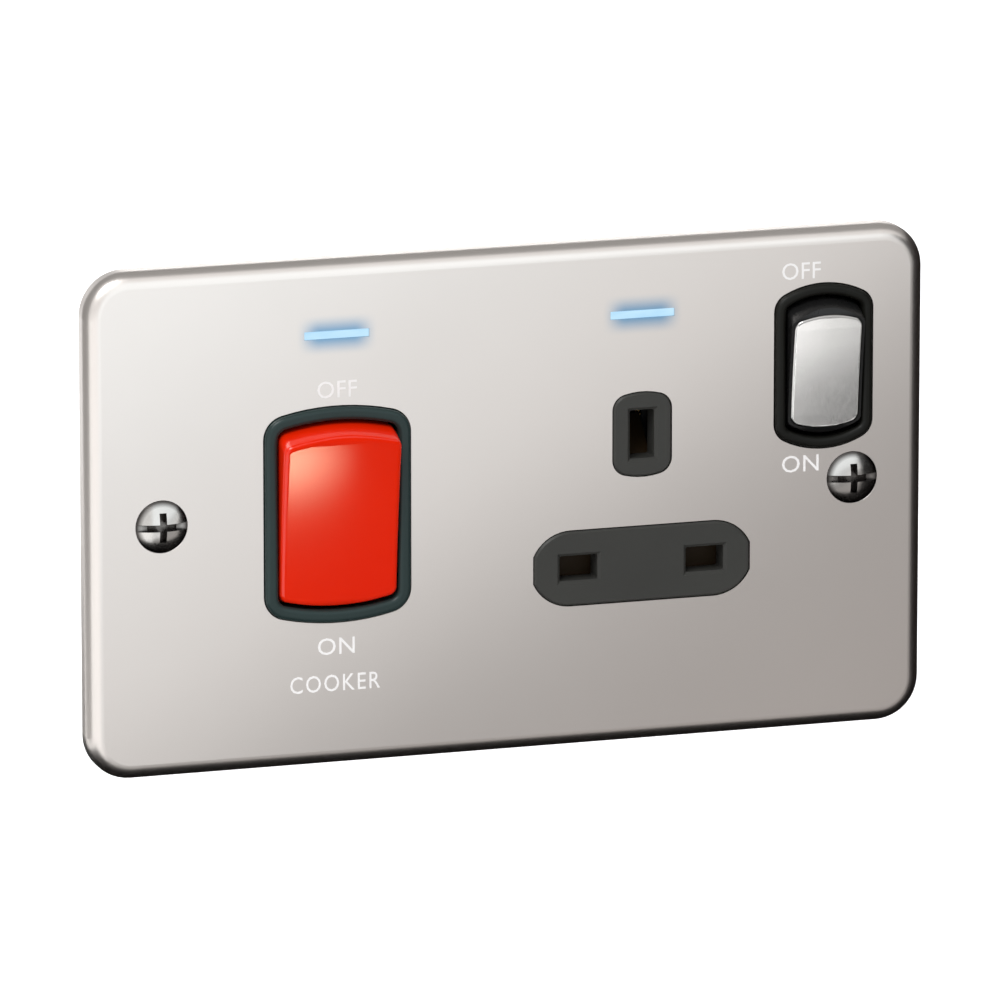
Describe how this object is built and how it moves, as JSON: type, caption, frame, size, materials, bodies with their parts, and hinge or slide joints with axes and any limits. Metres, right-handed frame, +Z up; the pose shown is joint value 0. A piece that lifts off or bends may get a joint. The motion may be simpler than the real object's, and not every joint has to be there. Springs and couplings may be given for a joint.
{
  "type": "cooker control unit",
  "caption": "Two-gang wall plate with a double-pole cooker rocker switch, a switched three-pin outlet with a sliding shutter, and indicator lamps.",
  "frame": {"origin": "in the wall plane, midway between the two fixing screws", "axes": "+X to the right seen from the front, +Y into the wall, +Z up; the front faces -Y"},
  "size_m": [0.146, 0.0402, 0.086],
  "materials": {
    "pearl_steel": "satin pearl nickel",
    "screw_steel": "nickel plated",
    "dark_moulding": "smooth dark moulding",
    "grey_moulding": "moulded grey",
    "liner_moulding": "moulded black",
    "red_moulding": "gloss red",
    "black_moulding": "gloss black",
    "satin_metal": "satin cap",
    "brass": "bright brass",
    "silver_tip": "silver contact",
    "spring_steel": "drawn wire",
    "plated_nut": "zinc plated",
    "clear_blue": "clear lamp blade",
    "board_green": "lacquered board",
    "chip_white": "lamp chip",
    "lead_white": "insulated lead",
    "white_nylon": "natural nylon",
    "brown_moulding": "moulded brown"
  },
  "bodies": {
    "unit": {"face_plate": "pearl_steel", "plate_liner": "liner_moulding", "fixing_screws": "screw_steel", "plate_nuts": "plated_nut", "cooker_cover": "dark_moulding", "cooker_base": "grey_moulding", "cooker_fixed_tips": "silver_tip", "supply_strip_left": "brass", "supply_strip_right": "brass", "load_strip_left": "brass", "load_strip_right": "brass", "supply_terminal_left": "brass", "supply_terminal_right": "brass", "load_terminal_left": "brass", "load_terminal_right": "brass", "earth_terminal": "brass", "terminal_screws": "plated_nut", "socket_cover": "dark_moulding", "socket_base": "grey_moulding", "socket_fixed_tip": "silver_tip", "socket_supply_strip": "brass", "socket_load_strip": "brass", "live_contact": "brass", "neutral_contact": "brass", "earth_contact": "brass", "earth_strap": "brass", "live_link": "brass", "neutral_link": "brass", "shutter_spring": "spring_steel", "cooker_light_pipe": "clear_blue", "socket_light_pipe": "clear_blue", "cooker_lamp_board": "board_green", "socket_lamp_board": "board_green", "cooker_lamp_chips": "chip_white", "socket_lamp_chips": "chip_white", "cooker_lamp_leads": "lead_white", "socket_lamp_leads": "lead_white"},
    "cooker_rocker": {"cooker_rocker": "red_moulding", "cooker_springs": "spring_steel"},
    "cooker_plunger_left": {"cooker_plunger_left": "white_nylon"},
    "cooker_plunger_right": {"cooker_plunger_right": "white_nylon"},
    "cooker_contact_left": {"cooker_contact_left": "brass", "cooker_moving_tip_left": "silver_tip"},
    "cooker_contact_right": {"cooker_contact_right": "brass", "cooker_moving_tip_right": "silver_tip"},
    "socket_rocker": {"socket_rocker": "black_moulding", "socket_rocker_cap": "satin_metal", "socket_spring": "spring_steel"},
    "socket_plunger": {"socket_plunger": "white_nylon"},
    "socket_contact": {"socket_contact": "brass", "socket_moving_tip": "silver_tip"},
    "shutter": {"shutter": "brown_moulding"}
  },
  "joints": [
    {"name": "cooker_rocker_tilt", "type": "hinge", "parent": "unit", "child": "cooker_rocker", "pos_m": [-0.03, -0.001, 0], "axis": [-1, 0, 0], "range_deg": [0, 14]},
    {"name": "cooker_contact_left_tilt", "type": "hinge", "parent": "unit", "child": "cooker_contact_left", "pos_m": [-0.03, 0.01232, 0], "axis": [1, 0, 0], "range_deg": [0, 16]},
    {"name": "cooker_contact_right_tilt", "type": "hinge", "parent": "unit", "child": "cooker_contact_right", "pos_m": [-0.03, 0.01232, 0], "axis": [1, 0, 0], "range_deg": [0, 16]},
    {"name": "cooker_plunger_left_slide", "type": "slide", "parent": "cooker_rocker", "child": "cooker_plunger_left", "axis": [0, -0.9925, -0.1219], "range_m": [0, 0.0012], "stiffness_N_per_m": 400, "springref_m": -0.0012, "deforming": ["cooker_springs"]},
    {"name": "cooker_plunger_right_slide", "type": "slide", "parent": "cooker_rocker", "child": "cooker_plunger_right", "axis": [0, -0.9925, -0.1219], "range_m": [0, 0.0012], "stiffness_N_per_m": 400, "springref_m": -0.0012, "deforming": ["cooker_springs"]},
    {"name": "socket_rocker_tilt", "type": "hinge", "parent": "unit", "child": "socket_rocker", "pos_m": [0.0551, -0.001, 0.0196], "axis": [-1, 0, 0], "range_deg": [0, 14]},
    {"name": "socket_contact_tilt", "type": "hinge", "parent": "unit", "child": "socket_contact", "pos_m": [0.0551, 0.00912, 0.0196], "axis": [1, 0, 0], "range_deg": [0, 18]},
    {"name": "socket_plunger_slide", "type": "slide", "parent": "socket_rocker", "child": "socket_plunger", "axis": [0, -0.9925, -0.1219], "range_m": [0, 0.0012], "stiffness_N_per_m": 400, "springref_m": -0.0012, "deforming": ["socket_spring"]},
    {"name": "shutter_slide", "type": "slide", "parent": "unit", "child": "shutter", "axis": [0, 0, -1], "range_m": [0, 0.0056], "stiffness_N_per_m": 60, "springref_m": -0.002, "deforming": ["shutter_spring"]}
  ],
  "couplings": [
    {"joint": "cooker_contact_left_tilt", "follows": "cooker_rocker_tilt", "ratio": 1.1428},
    {"joint": "cooker_contact_right_tilt", "follows": "cooker_rocker_tilt", "ratio": 1.1428},
    {"joint": "socket_contact_tilt", "follows": "socket_rocker_tilt", "ratio": 1.2857}
  ]
}
